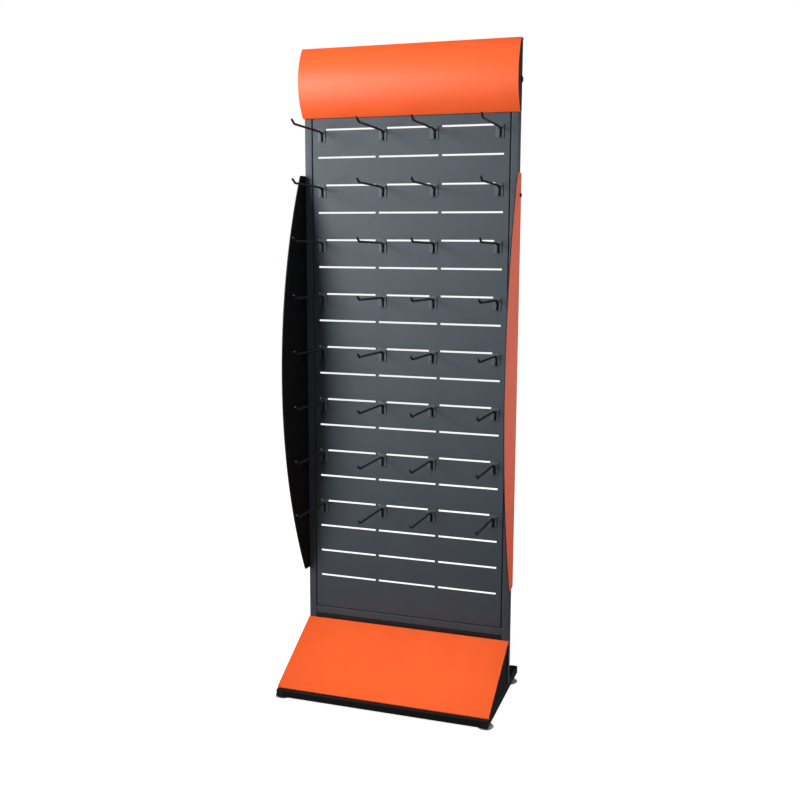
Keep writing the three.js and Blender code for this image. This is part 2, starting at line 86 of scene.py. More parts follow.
PANEL_FRONT_INSET = 1.95 * MM  # the front face stands this far in from the tray's outer sides
PANEL_RIM = 7.5 * MM  # width of the front face's outermost strip, which runs on into the folds
PANEL_STEP_DEPTH = 4 * MM
PANEL_FOLD_RADIUS = 0.9 * MM
PANEL_CORNER = 2.5 * MM

HEADER_EDGE_REACH = 6 * MM  # top and bottom edges, in front of the panel's face
HEADER_ARC_STEPS = 36
HEADER_CHEEK_CORNER = 2 * MM

WING_ARC_RADIUS = 1315 * MM
WING_MIDDLE_HEIGHT = 876 * MM
WING_ARC_STEPS = 72
WING_CORNER = 9 * MM
WING_TOP_BACK_CORNER = 3 * MM
WING_SHEET = 3 * MM
WING_SPLAY = 0.04  # outward lean of the part in front of the posts, per unit of reach
WING_BEND = 2 * MM  # the wings bend this far in front of the posts
WING_BEND_STEPS = 4
WING_OUTER_NORMAL = 0.5  # a face whose normal points outward by more than this is orange

COVER_HEM = 18 * MM
COVER_FLANGE = 15 * MM
COVER_CHEEK_CORNER = 1 * MM
COVER_CHEEK_TOP_CORNER = 2 * MM

WIRE_RADIUS = 3 * MM
WIRE_SIDES = 16
WIRE_BEND_RADIUS = 8 * MM
WIRE_BEND_STEPS = 8
WIRE_DOME = 0.45  # height of the domed ends, as a share of the wire's radius
WIRE_DOME_ANGLES = (0.0, 0.45, 0.9, 1.25)  # radians, where the dome's rings stand
HOOK_ARM_DROP = 6.6 * MM  # arm's centre line below the slot's centre line
HOOK_LEG_DROP = 33 * MM
HOOK_ARM_REACH = 183 * MM
HOOK_ARM_RISE = 4 * MM
HOOK_TIP_LENGTH = 21 * MM
HOOK_TIP_ANGLE = math.radians(30)
HOOK_PLATE = 2.2 * MM
HOOK_PLATE_HALF_WIDTH = 11 * MM
HOOK_PLATE_DROP = 34 * MM
HOOK_PLATE_CORNER = 0.5 * MM
HOOK_PLATE_OUTER_FOLD = 1.6 * MM
HOOK_PLATE_INNER_FOLD = 0.4 * MM
HOOK_PLATE_RIM = 0.4 * MM
HOOK_PLATE_STEPS = 4
HOOK_TONGUE_RISE = 14 * MM
HOOK_WELD_SINK = 0.3 * MM
HOOK_WELD_RADIUS = 0.9 * MM
HOOK_WELD_BOTTOM = -31 * MM  # heights from the slot's centre line
HOOK_WELD_TOP = -12 * MM
HOOK_WELD_SIDE = 0.75  # distance from the wire's middle, as a share of its radius
HOOK_ROWS = (1, 3, 5, 7, 9, 11, 13, 15)
HOOK_COLUMNS = 4

WELD_RADIUS = 1.6 * MM
WELD_RIPPLE = 1.4 * MM  # length of one ripple of a weld bead
WELD_MIN_RIPPLES = 3
WELD_SIDES = 10
WELD_VALLEY = 0.86  # size between two ripples, as a share of the bead's radius
WELD_END_SIZE = 0.35  # size at the very end
WELD_END_SHARE = 0.06  # share of the length over which each end thins out
RAIL_WELD_INSET = 2 * MM  # a rail's beads stop this far short of its edges

BODY = "stand"

# ---------------------------------------------------------------- material helpers

# The Mix node's colour sockets share their names with its other sockets, so they go by number.
MIX_FIRST_COLOUR = 6
MIX_SECOND_COLOUR = 7
MIX_COLOUR_RESULT = 2


def new_material(name):
    """A material and its node tree, with the Principled shader's inputs."""
    material = bpy.data.materials.new(name)
    material.use_nodes = True
    tree = material.node_tree
    return material, tree, tree.nodes["Principled BSDF"].inputs


def add_node(tree, kind, **settings):
    node = tree.nodes.new(kind)
    for name, value in settings.items():
        setattr(node, name, value)
    return node


def noise(tree, scale, detail=2.0, roughness=0.5):
    """The output of a noise texture in the piece's own coordinates, where 1 is a metre."""
    place = add_node(tree, "ShaderNodeTexCoord")
    texture = add_node(tree, "ShaderNodeTexNoise")
    texture.inputs["Scale"].default_value = scale
    texture.inputs["Detail"].default_value = detail
    texture.inputs["Roughness"].default_value = roughness
    tree.links.new(place.outputs["Object"], texture.inputs["Vector"])
    return texture.outputs["Fac"]


def remap(tree, value, low, high, to_low, to_high):
    """The value, taken from the range low..high to another range, and clamped to it."""
    node = add_node(tree, "ShaderNodeMapRange")
    settings = {"From Min": low, "From Max": high, "To Min": to_low, "To Max": to_high}
    for name, setting in settings.items():
        node.inputs[name].default_value = setting
    tree.links.new(value, node.inputs["Value"])
    return node.outputs["Result"]


def multiply(tree, first, second):
    node = add_node(tree, "ShaderNodeMath", operation="MULTIPLY")
    tree.links.new(first, node.inputs[0])
    tree.links.new(second, node.inputs[1])
    return node.outputs["Value"]


def mix_colours(tree, share, first, second):
    """Blends two colours. Each is an (r, g, b) or an output of the tree."""
    node = add_node(tree, "ShaderNodeMix", data_type="RGBA")
    tree.links.new(share, node.inputs["Factor"])
    for socket, colour in ((MIX_FIRST_COLOUR, first), (MIX_SECOND_COLOUR, second)):
        if isinstance(colour, tuple):
            node.inputs[socket].default_value = (*colour, 1)
        else:
            tree.links.new(colour, node.inputs[socket])
    return node.outputs[MIX_COLOUR_RESULT]


def shaded(colour, factor):
    return tuple(min(channel * factor, 1.0) for channel in colour)


def facing_up(tree):
    """1 on level upper faces, 0 on anything steeper than about 45 degrees."""
    geometry = add_node(tree, "ShaderNodeNewGeometry")
    split = add_node(tree, "ShaderNodeSeparateXYZ")
    tree.links.new(geometry.outputs["Normal"], split.inputs["Vector"])
    return remap(tree, split.outputs["Z"], 0.7, 1.0, 0.0, 1.0)


def add_bump(tree, inputs, height, distance):
    bump = add_node(tree, "ShaderNodeBump")
    bump.inputs["Strength"].default_value = 1.0
    bump.inputs["Distance"].default_value = distance
    tree.links.new(height, bump.inputs["Height"])
    tree.links.new(bump.outputs["Normal"], inputs["Normal"])


# ---------------------------------------------------------------- materials

DUST = (0.42, 0.40, 0.37)
CLOUD_CONTRAST = 0.04  # how much lighter and darker than its colour a coat gets
ROUGHNESS_SPREAD = 0.03


def powder_coat(name, colour, roughness, specular=0.5, dust=0.0, peel=0.02 * MM):
    """Sprayed and baked paint: a faint cloudiness, an orange-peel skin and settled dust."""
    material, tree, inputs = new_material(name)
    cloud = remap(tree, noise(tree, 9, detail=3), 0.3, 0.7, 0.0, 1.0)
    darker = shaded(colour, 1 - CLOUD_CONTRAST)
    lighter = shaded(colour, 1 + CLOUD_CONTRAST)
    coat = mix_colours(tree, cloud, darker, lighter)
    if dust:
        speckle = remap(tree, noise(tree, 160, detail=4, roughness=0.7), 0.35, 0.7, 0.3, 1.0)
        settled = remap(tree, multiply(tree, facing_up(tree), speckle), 0.0, 1.0, 0.0, dust)
        coat = mix_colours(tree, settled, coat, DUST)
    tree.links.new(coat, inputs["Base Color"])
    smoother = roughness - ROUGHNESS_SPREAD
    rougher = roughness + ROUGHNESS_SPREAD
    matt = remap(tree, noise(tree, 45, detail=3), 0.3, 0.7, smoother, rougher)
    tree.links.new(matt, inputs["Roughness"])
    inputs["Specular IOR Level"].default_value = specular
    add_bump(tree, inputs, noise(tree, 800, detail=1), peel)
    return material


def hook_coat():
    """Semi-gloss black, rubbed smoother and a little greyer on top, where tools hang."""
    material, tree, inputs = new_material("hook_black_coat")
    patch = remap(tree, noise(tree, 220, detail=4, roughness=0.6), 0.45, 0.7, 0.0, 1.0)
    rubbed = multiply(tree, facing_up(tree), patch)
    coat = mix_colours(tree, rubbed, (0.010, 0.010, 0.011), (0.030, 0.030, 0.032))
    tree.links.new(coat, inputs["Base Color"])
    tree.links.new(remap(tree, rubbed, 0.0, 1.0, 0.36, 0.24), inputs["Roughness"])
    add_bump(tree, inputs, noise(tree, 900, detail=1), 0.015 * MM)
    return material


def blackened_steel():
    material, tree, inputs = new_material("blackened_steel")
    stain = remap(tree, noise(tree, 300, detail=4), 0.35, 0.65, 0.0, 1.0)
    tone = mix_colours(tree, stain, (0.020, 0.020, 0.022), (0.045, 0.044, 0.043))
    tree.links.new(tone, inputs["Base Color"])
    tree.links.new(remap(tree, stain, 0.0, 1.0, 0.30, 0.42), inputs["Roughness"])
    inputs["Metallic"].default_value = 0.6
    add_bump(tree, inputs, noise(tree, 1500, detail=1), 0.01 * MM)
    return material


def zinc_plate():
    material, tree, inputs = new_material("zinc_plate")
    cloud = remap(tree, noise(tree, 180, detail=5, roughness=0.65), 0.35, 0.65, 0.0, 1.0)
    tone = mix_colours(tree, cloud, (0.62, 0.63, 0.64), (0.76, 0.76, 0.76))
    tree.links.new(tone, inputs["Base Color"])
    tree.links.new(remap(tree, cloud, 0.0, 1.0, 0.35, 0.50), inputs["Roughness"])
    inputs["Metallic"].default_value = 0.5
    add_bump(tree, inputs, noise(tree, 1200, detail=2), 0.01 * MM)
    return material


def moulded_plastic():
    material, tree, inputs = new_material("plug_plastic")
    grain = noise(tree, 1100, detail=2)
    tone = mix_colours(tree, grain, (0.010, 0.010, 0.011), (0.016, 0.016, 0.017))
    tree.links.new(tone, inputs["Base Color"])
    inputs["Roughness"].default_value = 0.55
    add_bump(tree, inputs, grain, 0.03 * MM)
    return material


slate_paint = powder_coat("slate_paint", (0.050, 0.066, 0.082), 0.55, specular=0.35, dust=0.04)
plate_paint = powder_coat("plate_paint", (0.070, 0.083, 0.098), 0.48, specular=0.4, dust=0.04)
black_paint = powder_coat("black_paint", (0.016, 0.0166, 0.0175), 0.60, specular=0.3, dust=0.02)
base_black = powder_coat("base_black", (0.008, 0.0085, 0.0095), 0.55, specular=0.3, dust=0.02)
orange_paint = powder_coat("orange_paint", (0.97, 0.126, 0.026), 0.45, specular=0.4, dust=0.01)
# The wings' orange is paler and less saturated than the header's: painted sheen, a white reflection
# put into the colour.
wing_orange_painted_sheen = powder_coat("wing_orange_painted_sheen", (0.95, 0.14, 0.06), 0.50, dust=0.02)
hook_paint = hook_coat()
bolt_steel = blackened_steel()
zinc = zinc_plate()
plug_plastic = moulded_plastic()

# ---------------------------------------------------------------- flat outlines


def round_corner(before, corner, after, radius, steps):
    """Points on the arc that rounds one corner of a flat path."""
    back = (before - corner).normalized()
    onward = (after - corner).normalized()
    half = back.angle(onward) / 2
    centre = corner + (back + onward).normalized() * (radius / math.sin(half))
    spoke = corner + back * (radius / math.tan(half)) - centre
    turn = math.pi - 2 * half
    if back.x * onward.y - back.y * onward.x > 0:
        turn = -turn
    return [centre + Matrix.Rotation(turn * i / steps, 2) @ spoke for i in range(steps + 1)]


def round_path(points, radius, steps):
    """An open path with every corner between its ends rounded."""
    points = [Vector(point) for point in points]
    rounded = [points[0]]
    for before, corner, after in zip(points, points[1:], points[2:]):
        rounded += round_corner(before, corner, after, radius, steps)
    return [*rounded, points[-1]]


def round_outline(corners, steps):
    """A closed outline from (point, radius) pairs. A corner of radius 0 stays sharp."""
    points = [Vector(point) for point, _ in corners]
    rounded = []
    for i, (_, radius) in enumerate(corners):
        if radius:
            after = points[(i + 1) % len(points)]
            rounded += round_corner(points[i - 1], points[i], after, radius, steps)
        else:
            rounded.append(points[i])
    return rounded


def sideways(direction):
    return Vector((-direction.y, direction.x))


def offset(points, distance, closed=False):
    """The path moved to the left of the way it runs, with mitred corners."""
    count = len(points)
    moved = []
    for i, point in enumerate(points):
        before = points[i - 1] if closed or i else point
        after = points[(i + 1) % count] if closed or i < count - 1 else point
        sides = [
            sideways((b - a).normalized()) for a, b in ((before, point), (point, after)) if a != b
        ]
        first, last = sides[0], sides[-1]
        moved.append(point + (first + last) * (distance / (1 + first.dot(last))))
    return moved


def sheet_outline(points):
    """Section of a folded sheet. Its outer surface follows the points, its body is on their left."""
    surface = round_path(points, FOLD_RADIUS, FOLD_STEPS)
    return surface + offset(surface, SHEET)[::-1]


def circle_angles(sides):
    return [2 * math.pi * i / sides for i in range(sides)]


def arc(centre, radius, start, end, steps):
    """Points on an arc that bulges towards -Y, between two angles above level."""
    angles = [start + (end - start) * i / steps for i in range(steps + 1)]
    return [
        Vector((centre[0] - radius * math.cos(a), centre[1] + radius * math.sin(a))) for a in angles
    ]


def signed_area(points):
    return sum(a.x * b.y - b.x * a.y for a, b in zip(points, points[1:] + points[:1])) / 2


# ---------------------------------------------------------------- solids


def bridge(bm, near, far):
    """A band of faces between two loops of vertices of equal length."""
    for i in range(len(near)):
        bm.faces.new((near[i - 1], near[i], far[i], far[i - 1]))


def strip(bm, rings):
    """Joins rings of equal length with faces and returns their loops of vertices."""
    loops = [[bm.verts.new(point) for point in ring] for ring in rings]
    for near, far in zip(loops, loops[1:]):
        bridge(bm, near, far)
    return loops


def skin(bm, rings, closed=False):
    """A solid's surface over rings: joined end to end if closed, capped at both ends if not."""
    loops = strip(bm, rings)
    if closed:
        bridge(bm, loops[-1], loops[0])
    else:
        bm.faces.new(loops[0][::-1])
        bm.faces.new(loops[-1])


def prism(bm, outline, x0, x1, rim=RIM):
    """A (y, z) outline extruded along X, with its end edges rounded off."""
    inward = rim if signed_area(outline) > 0 else -rim
    inner = offset(outline, inward, closed=True)
    rings = [(inner, x0), (outline, x0 + rim), (outline, x1 - rim), (inner, x1)]
    skin(bm, [[Vector((x, point.x, point.y)) for point in ring] for ring, x in rings])


def turned_rings(profile, sides, place):
    """Rings about Z, one for each (radius, height) of the profile, moved to a place."""
    angles = circle_angles(sides)
    return [
        [place @ Vector((radius * math.cos(a), radius * math.sin(a), height)) for a in angles]
        for radius, height in profile
    ]


def rounded_square(half, radius):
    corners = [((half, -half), radius), ((half, half), radius)]
    corners += [((-half, half), radius), ((-half, -half), radius)]
    return round_outline(corners, TUBE_CORNER_STEPS)


def mesh_from(bm, name, materials):
    """Turns a bmesh into a smooth-shaded mesh with crisp edges where faces meet steeply."""
    bmesh.ops.recalc_face_normals(bm, faces=bm.faces)
    mesh = bpy.data.meshes.new(name)
    bm.to_mesh(mesh)
    bm.free()
    for material in materials:
        mesh.materials.append(material)
    mesh.shade_smooth()
    mesh.set_sharp_from_angle(angle=SHARP_ANGLE)
    return mesh


def add_piece(name, mesh, body, stands_for=(), place=(0, 0, 0)):
    """Adds a piece that rides on a body and replaces CAD nodes."""
    piece = bpy.data.objects.new(name, mesh)
    piece.location = place
    bpy.context.scene.collection.objects.link(piece)
    shading = piece.modifiers.new("even_shading", "WEIGHTED_NORMAL")
    shading.keep_sharp = True
    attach(piece, body)
    if stands_for:
        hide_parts(*stands_for)


# ---------------------------------------------------------------- tubes and welds


def tube_ring(centre, axis, along, half, radius):
    """A rounded square across an axis, at a place along it."""
    across = [i for i in range(3) if i != axis]
    ring = []
    for u, v in rounded_square(half, radius):
        point = centre.copy()
        point[axis] = along
        point[across[0]] += u
        point[across[1]] += v
        ring.append(point)
    return ring


def long_axis(size):
    return max(range(3), key=lambda i: size[i])


def add_tube(node, material, end_room=0.0):
    """A hollow square tube in place of a node. end_room is left free at each end for a plug."""
    low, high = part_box(node)
    size = high - low
    axis = long_axis(size)
    centre = (low + high) / 2
    start = low[axis] + end_room
    end = high[axis] - end_room
    half = min(size) / 2
    bore = half - TUBE_WALL
    bore_corner = TUBE_CORNER - TUBE_WALL
    stations = [
        (start + RIM, half, TUBE_CORNER),
        (end - RIM, half, TUBE_CORNER),
        (end, half - RIM, TUBE_CORNER - RIM),
        (end, bore + RIM, bore_corner + RIM),
        (end - RIM, bore, bore_corner),
        (start + RIM, bore, bore_corner),
        (start, bore + RIM, bore_corner + RIM),
        (start, half - RIM, TUBE_CORNER - RIM),
    ]
    bm = bmesh.new()
    rings = [tube_ring(centre, axis, along, *section) for along, *section in stations]
    skin(bm, rings, closed=True)
    mesh = mesh_from(bm, node, [material])
    add_piece(f"{node}_tube", mesh, BODY, [node])


def add_plug(node, end):
    """The plastic plug that closes one end of a base side tube: a head and a tapered stem."""
    low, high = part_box(node)
    size = high - low
    axis = long_axis(size)
    centre = (low + high) / 2
    outward = 1 if end == "rear" else -1
    face = high[axis] if end == "rear" else low[axis]
    half = min(size) / 2
    stem = half - TUBE_WALL - PLUG_PLAY
    shoulder = PLUG_THICKNESS + PLUG_LAP
    bevel = PLUG_EDGE * 0.3
    stations = [
        (PLUG_LENGTH, stem - PLUG_STEM_TAPER, PLUG_STEM_CORNER - PLUG_STEM_TAPER / 2),
        (PLUG_LENGTH - MM, stem, PLUG_STEM_CORNER),
        (shoulder, stem, PLUG_STEM_CORNER),
        (shoulder, half, TUBE_CORNER),
        (PLUG_EDGE, half, TUBE_CORNER),
        (bevel, half - bevel, TUBE_CORNER - bevel),
        (0, half - PLUG_EDGE, TUBE_CORNER - PLUG_EDGE),
    ]
    rings = [
        tube_ring(centre, axis, face - outward * depth, *section) for depth, *section in stations
    ]
    bm = bmesh.new()
    skin(bm, rings)
    mesh = mesh_from(bm, f"{node}_{end}", [plug_plastic])
    add_piece(f"{node}_plug_{end}", mesh, BODY)


def weld_bead(bm, start, end, radius=WELD_RADIUS):
    """A rippled bead of weld along a straight joint."""
    start, end = Vector(start), Vector(end)
    along = end - start
    side = along.orthogonal().normalized()
    other = along.cross(side).normalized()
    ripples = max(round(along.length / WELD_RIPPLE), WELD_MIN_RIPPLES)
    angles = circle_angles(WELD_SIDES)
    rings = []
    for i in range(2 * ripples + 1):
        share = i / (2 * ripples)
        from_end = min(share, 1 - share, WELD_END_SHARE)
        swell = math.sin(math.pi / 2 * from_end / WELD_END_SHARE)
        size = radius * (WELD_END_SIZE + (1 - WELD_END_SIZE) * swell)
        if i % 2 == 0:
            size *= WELD_VALLEY
        middle = start + along * share
        rings.append(
            [middle + side * (size * math.cos(a)) + other * (size * math.sin(a)) for a in angles]
        )
    skin(bm, rings)


for tube_node in ("post_left", "post_right", "top_rail", "bottom_rail"):
    add_tube(tube_node, slate_paint)
for tube_node in ("cover_rail", "base_front_tube", "base_rear_tube"):
    add_tube(tube_node, base_black)
for tube_node in ("base_side_tube_left", "base_side_tube_right"):
    add_tube(tube_node, base_black, end_room=PLUG_THICKNESS)
    add_plug(tube_node, "front")
    add_plug(tube_node, "rear")


def rail_welds(nodes):
    """Upright beads on the back of the frame, where the cross rails meet the posts."""
    bm = bmesh.new()
    for node in nodes:
        low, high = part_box(node)
        bottom = low.z + RAIL_WELD_INSET
        top = high.z - RAIL_WELD_INSET
        for x in (low.x - GAP / 2, high.x + GAP / 2):
            weld_bead(bm, (x, high.y, bottom), (x, high.y, top))
    return bm


frame_welds = mesh_from(rail_welds(["top_rail", "bottom_rail"]), "frame_welds", [slate_paint])
add_piece("frame_welds", frame_welds, BODY)

# ---------------------------------------------------------------- slotted panel


def panel_rectangle(low, high, inset, y):
    """The tray's outline in the XZ plane, drawn in by an inset."""
    x0, x1 = low.x + inset, high.x - inset
    z0, z1 = low.z + inset, high.z - inset
    corners = [((x0, z0), PANEL_CORNER), ((x1, z0), PANEL_CORNER)]
    corners += [((x1, z1), PANEL_CORNER), ((x0, z1), PANEL_CORNER)]
    return [Vector((p.x, y, p.y)) for p in round_outline(corners, FOLD_STEPS)]


def slot_ring(centre_x, centre_z, widen, y):
    """A slot's edge, widened by a little where the edge is rounded off."""
    x0, x1 = centre_x - SLOT_LENGTH / 2 - widen, centre_x + SLOT_LENGTH / 2 + widen
    z0, z1 = centre_z - SLOT_WIDTH / 2 - widen, centre_z + SLOT_WIDTH / 2 + widen
    corners = [((x, z), SLOT_CORNER + widen) for x, z in ((x0, z0), (x1, z0), (x1, z1), (x0, z1))]
    return [Vector((p.x, y, p.y)) for p in round_outline(corners, SLOT_CORNER_STEPS)]


def slot_height(row):
    return TOP_SLOT_HEIGHT - (row - 1) * SLOT_PITCH


def slot_centres():
    for row in range(1, SLOT_ROWS + 1):
        for i in range(SLOTS_PER_ROW):
            column = i - (SLOTS_PER_ROW - 1) / 2
            yield column * (SLOT_LENGTH + SLOT_BRIDGE), slot_height(row)


def ring_edges(bm, loop):
    return [bm.edges.get((loop[i - 1], loop[i])) for i in range(len(loop))]


def tray_profile(depth):
    """(inset, depth behind the front face) along the folded side of the tray, out and back."""
    outer = [
        (PANEL_FRONT_INSET + PANEL_RIM, 0),
        (PANEL_FRONT_INSET, 0),
        (PANEL_FRONT_INSET, PANEL_STEP_DEPTH),
        (0, PANEL_STEP_DEPTH),
        (0, depth),
    ]
    surface = round_path(outer, PANEL_FOLD_RADIUS, FOLD_STEPS)
    return surface + offset(surface, -PANEL_SHEET)[::-1]


def slotted_panel():
    """A folded tray whose front sheet is filled in around the walls of its slots."""
    low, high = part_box("slotted_panel")
    bm = bmesh.new()
    profile = tray_profile(high.y - low.y)
    loops = strip(bm, [panel_rectangle(low, high, inset, low.y + depth) for inset, depth in profile])
    front_edges = ring_edges(bm, loops[0])
    back_edges = ring_edges(bm, loops[-1])
    wall = ((RIM, 0), (0, RIM), (0, PANEL_SHEET - RIM), (RIM, PANEL_SHEET))
    for x, z in slot_centres():
        loops = strip(bm, [slot_ring(x, z, widen, low.y + depth) for widen, depth in wall])
        front_edges += ring_edges(bm, loops[0])
        back_edges += ring_edges(bm, loops[-1])
    bmesh.ops.triangle_fill(bm, edges=front_edges, use_beauty=True)
    bmesh.ops.triangle_fill(bm, edges=back_edges, use_beauty=True)
    return mesh_from(bm, "slotted_panel", [slate_paint])


add_piece("panel_sheet", slotted_panel(), BODY, ["slotted_panel"])

# ---------------------------------------------------------------- header


def header_front(inset):
    """The arc of the header's bulging front, from top to bottom, drawn in by an inset."""
    low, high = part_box("header_fascia")
    edge_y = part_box("slotted_panel")[0].y - HEADER_EDGE_REACH
    rise = edge_y - low.y
    half_height = (high.z - low.z) / 2
    radius = (half_height**2 + rise**2) / (2 * rise)
    centre = (low.y + radius, (high.z + low.z) / 2)
    half_angle = math.asin((half_height - inset) / (radius - inset))
    return arc(centre, radius - inset, half_angle, -half_angle, HEADER_ARC_STEPS)


def header_fascia():
    low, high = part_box("header_fascia")
    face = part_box("slotted_panel")[0].y
    surface = [Vector((high.y, high.z)), *header_front(0), Vector((face - GAP, low.z))]
    # The arc's two end points are folds, so each gives way to a rounded corner.
    top_fold = round_corner(surface[0], surface[1], surface[2], FOLD_RADIUS, FOLD_STEPS)
    bottom_fold = round_corner(surface[-3], surface[-2], surface[-1], FOLD_RADIUS, FOLD_STEPS)
    surface = [surface[0], *top_fold, *surface[2:-2], *bottom_fold, surface[-1]]
    outline = surface + offset(surface, SHEET)[::-1]
    bm = bmesh.new()
    prism(bm, outline, low.x, high.x)
    return mesh_from(bm, "header_fascia", [orange_paint])


def header_cheek(node):
    low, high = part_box(node)
    corners = [(point, 0) for point in header_front(SHEET + GAP)]
    corners += [((high.y, low.z), HEADER_CHEEK_CORNER), ((high.y, high.z), HEADER_CHEEK_CORNER)]
    bm = bmesh.new()
    prism(bm, round_outline(corners, FOLD_STEPS), low.x, high.x)
    return mesh_from(bm, node, [black_paint])


add_piece("header_sheet", header_fascia(), BODY, ["header_fascia"])
for side in ("left", "right"):
    cheek_node = f"header_cheek_{side}"
    cheek = header_cheek(cheek_node)
    add_piece(f"header_end_{side}", cheek, BODY, [cheek_node])

# ---------------------------------------------------------------- side wings


def wing_outline(low, high):
    centre = (low.y + WING_ARC_RADIUS, WING_MIDDLE_HEIGHT)
    top = math.asin((high.z - WING_MIDDLE_HEIGHT) / WING_ARC_RADIUS)
    bottom = math.asin((low.z - WING_MIDDLE_HEIGHT) / WING_ARC_RADIUS)
    front = arc(centre, WING_ARC_RADIUS, top, bottom, WING_ARC_STEPS)
    corners = [((high.y, high.z), WING_TOP_BACK_CORNER), (front[0], WING_CORNER)]
    corners += [(point, 0) for point in front[1:-1]]
    corners += [(front[-1], WING_CORNER), ((high.y, low.z), WING_CORNER)]
    return round_outline(corners, FOLD_STEPS)


def bend_wing(bm, outward):
    """Leans the part in front of the posts outward, about a soft bend."""
    bend_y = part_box("slotted_panel")[0].y - WING_BEND
    step = FOLD_RADIUS / WING_BEND_STEPS
    for i in range(WING_BEND_STEPS + 1):
        geometry = [*bm.verts, *bm.edges, *bm.faces]
        cut = Vector((0, bend_y + FOLD_RADIUS / 2 - i * step, 0))
        bmesh.ops.bisect_plane(bm, geom=geometry, plane_co=cut, plane_no=(0, 1, 0))
    for vertex in bm.verts:
        ahead = bend_y + FOLD_RADIUS / 2 - vertex.co.y
        share = min(max(ahead / FOLD_RADIUS, 0), 1)
        # Across the bend the lean grows evenly, so the sheet follows a shallow curve.
        lean = WING_SPLAY * (max(ahead - FOLD_RADIUS, 0) + FOLD_RADIUS * share**2 / 2)
        vertex.co.x += outward * lean


def wing(node):
    """A bowed sheet, orange on its outer face and black on its inner face and edges."""
    low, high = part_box(node)
    outward = 1 if low.x > 0 else -1
    inner = min(abs(low.x), abs(high.x))
    x0, x1 = sorted((outward * inner, outward * (inner + WING_SHEET)))
    bm = bmesh.new()
    prism(bm, wing_outline(low, high), x0, x1)
    bend_wing(bm, outward)
    mesh = mesh_from(bm, node, [black_paint, wing_orange_painted_sheen])
    for face in mesh.polygons:
        face.material_index = int(face.normal.x * outward > WING_OUTER_NORMAL)
    return mesh


for side in ("left", "right"):
    wing_node = f"wing_{side}"
    add_piece(f"{wing_node}_sheet", wing(wing_node), BODY, [wing_node])

# ---------------------------------------------------------------- base cover


def base_cover():
    low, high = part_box("base_cover")
    surface = [
        (high.y, high.z - COVER_FLANGE),
        (high.y, high.z),
        (low.y, low.z),
        (low.y + COVER_HEM, low.z),
    ]
    bm = bmesh.new()
    prism(bm, sheet_outline(surface), low.x, high.x)
    return mesh_from(bm, "base_cover", [orange_paint])


def base_cheek(node):
    """The plate under one end of the cover, with its top edge along the cover's slope."""
    low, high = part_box(node)
    cover_low, cover_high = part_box("base_cover")
    slope = (cover_high.z - cover_low.z) / (cover_high.y - cover_low.y)
    front_height = high.z - slope * (high.y - low.y)
    corners = [
        ((low.y, low.z), COVER_CHEEK_CORNER),
        ((high.y, low.z), COVER_CHEEK_CORNER),
        ((high.y, high.z), COVER_CHEEK_TOP_CORNER),
        ((low.y, front_height), COVER_CHEEK_CORNER),
    ]
    bm = bmesh.new()
    prism(bm, round_outline(corners, FOLD_STEPS), low.x, high.x)
    return mesh_from(bm, node, [base_black])


add_piece("cover_sheet", base_cover(), BODY, ["base_cover"])
for side in ("left", "right"):
    cheek_node = f"base_cheek_{side}"
    cheek = base_cheek(cheek_node)
    add_piece(f"cover_end_{side}", cheek, BODY, [cheek_node])

# ---------------------------------------------------------------- bolts and feet

BOLT_SIDES = 24
SHANK_LENGTH = 12 * MM
SHANK_RADIUS = 3 * MM
SHANK_CHAMFER = 1 * MM
DOME_STEPS = 6
DOME_HEIGHT = 0.75  # share of the head's height that is domed
BOLT_CROWN = 0.4  # radius of the dome's flat top, as a share of the head's radius
RIVET_CROWN = 0.15
SOCKET_RADIUS = 2.3 * MM
SOCKET_DEPTH = 1.8 * MM
SOCKET_RIM = 0.15 * MM  # the socket's edge lies this far below the dome's top


def hexagon_ring(radius, height, place):
    """A hexagon drawn with as many points as a bolt's round rings."""
    ring = []
    for angle in circle_angles(BOLT_SIDES):
        reach = radius * math.cos(math.pi / 6) / math.cos((angle % (math.pi / 3)) - math.pi / 6)
        ring.append(place @ Vector((reach * math.cos(angle), reach * math.sin(angle), height)))
    return ring


def fastener(node, material, socket):
    """A domed head and the shank behind it. A bolt has a hexagon socket, a rivet has none."""
    low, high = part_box(node)
    outward = 1 if low.x > 0 else -1
    radius = (high.z - low.z) / 2
    # The node's box runs from the shank's tip to the top of the head.
    head_top = high.x if outward > 0 else low.x
    length = high.x - low.x
    head = length - SHANK_LENGTH
    middle = (low + high) / 2
    place = Matrix.Translation((head_top, middle.y, middle.z))
    place = place @ Matrix.Rotation(outward * math.pi / 2, 4, "Y")
    crown = radius * (BOLT_CROWN if socket else RIVET_CROWN)
    profile = [
        (SHANK_RADIUS - SHANK_CHAMFER, -length),
        (SHANK_RADIUS, SHANK_CHAMFER - length),
        (SHANK_RADIUS, -head),
        (radius, -head),
    ]
    for i in range(DOME_STEPS + 1):
        angle = math.pi / 2 * i / DOME_STEPS
        reach = crown + (radius - crown) * math.cos(angle)
        profile.append((reach, -head * DOME_HEIGHT * (1 - math.sin(angle))))
    rings = turned_rings(profile, BOLT_SIDES, place)
    if socket:
        rings.append(hexagon_ring(SOCKET_RADIUS, -SOCKET_RIM, place))
        rings.append(hexagon_ring(SOCKET_RADIUS, -SOCKET_DEPTH, place))
    bm = bmesh.new()
    skin(bm, rings)
    return mesh_from(bm, node, [material])


for side in ("left", "right"):
    for part in ("header_bolt", "wing_bolt"):
        bolt_node = f"{part}_{side}"
        bolt = fastener(bolt_node, bolt_steel, socket=True)
        add_piece(f"{bolt_node}_screw", bolt, BODY, [bolt_node])
    rivet_node = f"wing_rivet_{side}"
    rivet = fastener(rivet_node, wing_orange_painted_sheen, socket=False)
    add_piece(f"{rivet_node}_head", rivet, BODY, [rivet_node])

